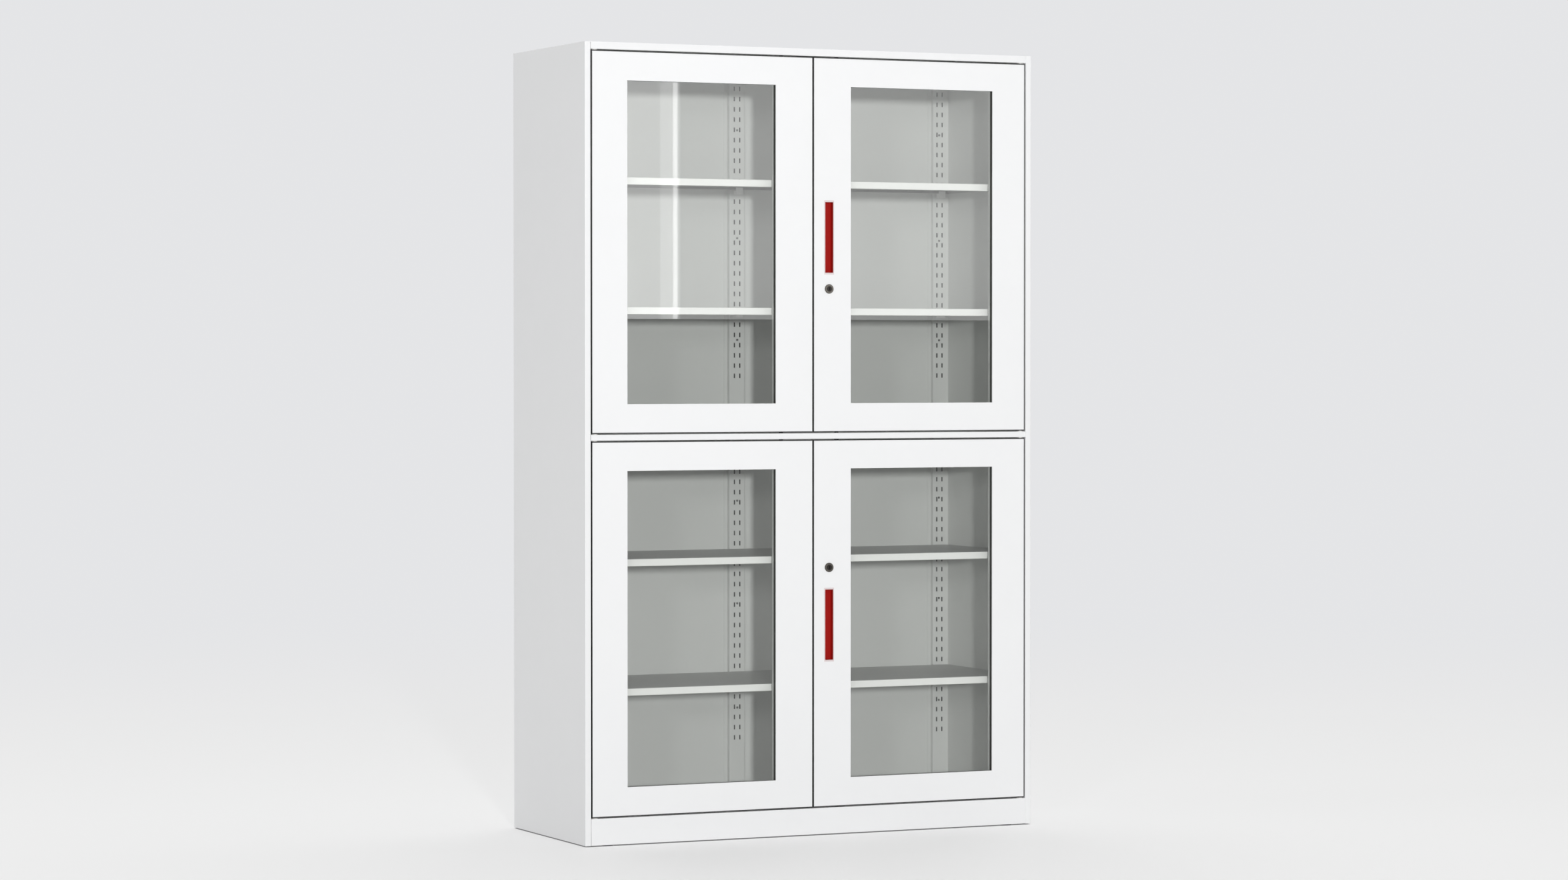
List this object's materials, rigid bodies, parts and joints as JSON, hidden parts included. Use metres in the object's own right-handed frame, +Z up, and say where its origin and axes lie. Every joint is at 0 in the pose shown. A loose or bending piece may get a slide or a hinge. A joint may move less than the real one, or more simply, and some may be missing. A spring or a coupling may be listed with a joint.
{
  "type": "glazed storage cabinet",
  "caption": "Tall white sheet-steel storage cabinet with stacked pairs of hinged glass doors, recessed red pulls, cam locks and adjustable shelves.",
  "frame": {"origin": "on the floor, under the middle of the cabinet's bounding box", "axes": "+Z up, +X to the right of a person who faces the doors, +Y from the doors towards the back"},
  "size_m": [1.16, 0.45, 1.85],
  "materials": {
    "cabinet_paint": "satin white powder coat",
    "door_paint": "satin white powder coat",
    "clip_zinc": "white coated steel",
    "glide_plastic": "black moulded",
    "bush_nylon": "natural nylon",
    "buffer_rubber": "soft black",
    "glass": "clear float glass",
    "gasket_rubber": "black extruded",
    "zinc": "zinc plated",
    "pull_red": "red moulded, semi-gloss",
    "bezel_plastic": "pale moulded",
    "nickel": "bright nickel plate"
  },
  "bodies": {
    "carcass": {"side_panel_left": "cabinet_paint", "side_panel_right": "cabinet_paint", "top_panel": "cabinet_paint", "middle_deck": "cabinet_paint", "floor_deck": "cabinet_paint", "plinth_board": "cabinet_paint", "back_panel": "cabinet_paint", "rear_upright_left": "cabinet_paint", "rear_upright_centre": "cabinet_paint", "rear_upright_right": "cabinet_paint", "shelf_upper_top": "cabinet_paint", "shelf_upper_bottom": "cabinet_paint", "shelf_lower_top": "cabinet_paint", "shelf_lower_bottom": "cabinet_paint", "shelf_clips_upper": "clip_zinc", "shelf_clips_lower": "clip_zinc", "levelling_glides": "glide_plastic", "pivot_bushes": "bush_nylon", "door_buffers": "buffer_rubber"},
    "door_upper_left": {"door_shell_upper_left": "door_paint", "door_liner_upper_left": "door_paint", "door_glass_upper_left": "glass", "door_gasket_upper_left": "gasket_rubber", "pivot_pins_upper_left": "zinc", "bolt_guides_upper_left": "zinc"},
    "door_upper_right": {"door_shell_upper_right": "door_paint", "door_liner_upper_right": "door_paint", "door_glass_upper_right": "glass", "door_gasket_upper_right": "gasket_rubber", "pivot_pins_upper_right": "zinc", "pull_cup_upper_right": "pull_red", "pull_bezel_upper_right": "bezel_plastic", "lock_body_upper_right": "nickel", "lock_nut_upper_right": "zinc"},
    "door_lower_left": {"door_shell_lower_left": "door_paint", "door_liner_lower_left": "door_paint", "door_glass_lower_left": "glass", "door_gasket_lower_left": "gasket_rubber", "pivot_pins_lower_left": "zinc", "bolt_guides_lower_left": "zinc"},
    "door_lower_right": {"door_shell_lower_right": "door_paint", "door_liner_lower_right": "door_paint", "door_glass_lower_right": "glass", "door_gasket_lower_right": "gasket_rubber", "pivot_pins_lower_right": "zinc", "pull_cup_lower_right": "pull_red", "pull_bezel_lower_right": "bezel_plastic", "lock_body_lower_right": "nickel", "lock_nut_lower_right": "zinc"},
    "lock_upper_right": {"lock_plug_upper_right": "nickel", "lock_cam_upper_right": "zinc"},
    "lock_lower_right": {"lock_plug_lower_right": "nickel", "lock_cam_lower_right": "zinc"},
    "bolt_top_upper_left": {"bolt_top_upper_left": "zinc"},
    "bolt_bottom_upper_left": {"bolt_bottom_upper_left": "zinc"},
    "bolt_top_lower_left": {"bolt_top_lower_left": "zinc"},
    "bolt_bottom_lower_left": {"bolt_bottom_lower_left": "zinc"}
  },
  "joints": [
    {"name": "door_hinge_upper_left", "type": "hinge", "parent": "carcass", "child": "door_upper_left", "pos_m": [-0.5536, -0.214, 0.952], "axis": [0, 0, -1], "range_deg": [0, 105]},
    {"name": "door_hinge_upper_right", "type": "hinge", "parent": "carcass", "child": "door_upper_right", "pos_m": [0.5536, -0.214, 0.952], "axis": [0, 0, 1], "range_deg": [0, 105]},
    {"name": "door_hinge_lower_left", "type": "hinge", "parent": "carcass", "child": "door_lower_left", "pos_m": [-0.5536, -0.214, 0.068], "axis": [0, 0, -1], "range_deg": [0, 105]},
    {"name": "door_hinge_lower_right", "type": "hinge", "parent": "carcass", "child": "door_lower_right", "pos_m": [0.5536, -0.214, 0.068], "axis": [0, 0, 1], "range_deg": [0, 105]},
    {"name": "lock_turn_upper_right", "type": "hinge", "parent": "door_upper_right", "child": "lock_upper_right", "pos_m": [0.0407, -0.222, 1.287], "axis": [0, 1, 0], "range_deg": [0, 90]},
    {"name": "lock_turn_lower_right", "type": "hinge", "parent": "door_lower_right", "child": "lock_lower_right", "pos_m": [0.0407, -0.222, 0.631], "axis": [0, 1, 0], "range_deg": [0, 90]},
    {"name": "bolt_slide_top_upper_left", "type": "slide", "parent": "door_upper_left", "child": "bolt_top_upper_left", "axis": [0, 0, 1], "range_m": [0, 0.011]},
    {"name": "bolt_slide_bottom_upper_left", "type": "slide", "parent": "door_upper_left", "child": "bolt_bottom_upper_left", "axis": [0, 0, -1], "range_m": [0, 0.011]},
    {"name": "bolt_slide_top_lower_left", "type": "slide", "parent": "door_lower_left", "child": "bolt_top_lower_left", "axis": [0, 0, 1], "range_m": [0, 0.011]},
    {"name": "bolt_slide_bottom_lower_left", "type": "slide", "parent": "door_lower_left", "child": "bolt_bottom_lower_left", "axis": [0, 0, -1], "range_m": [0, 0.011]}
  ]
}
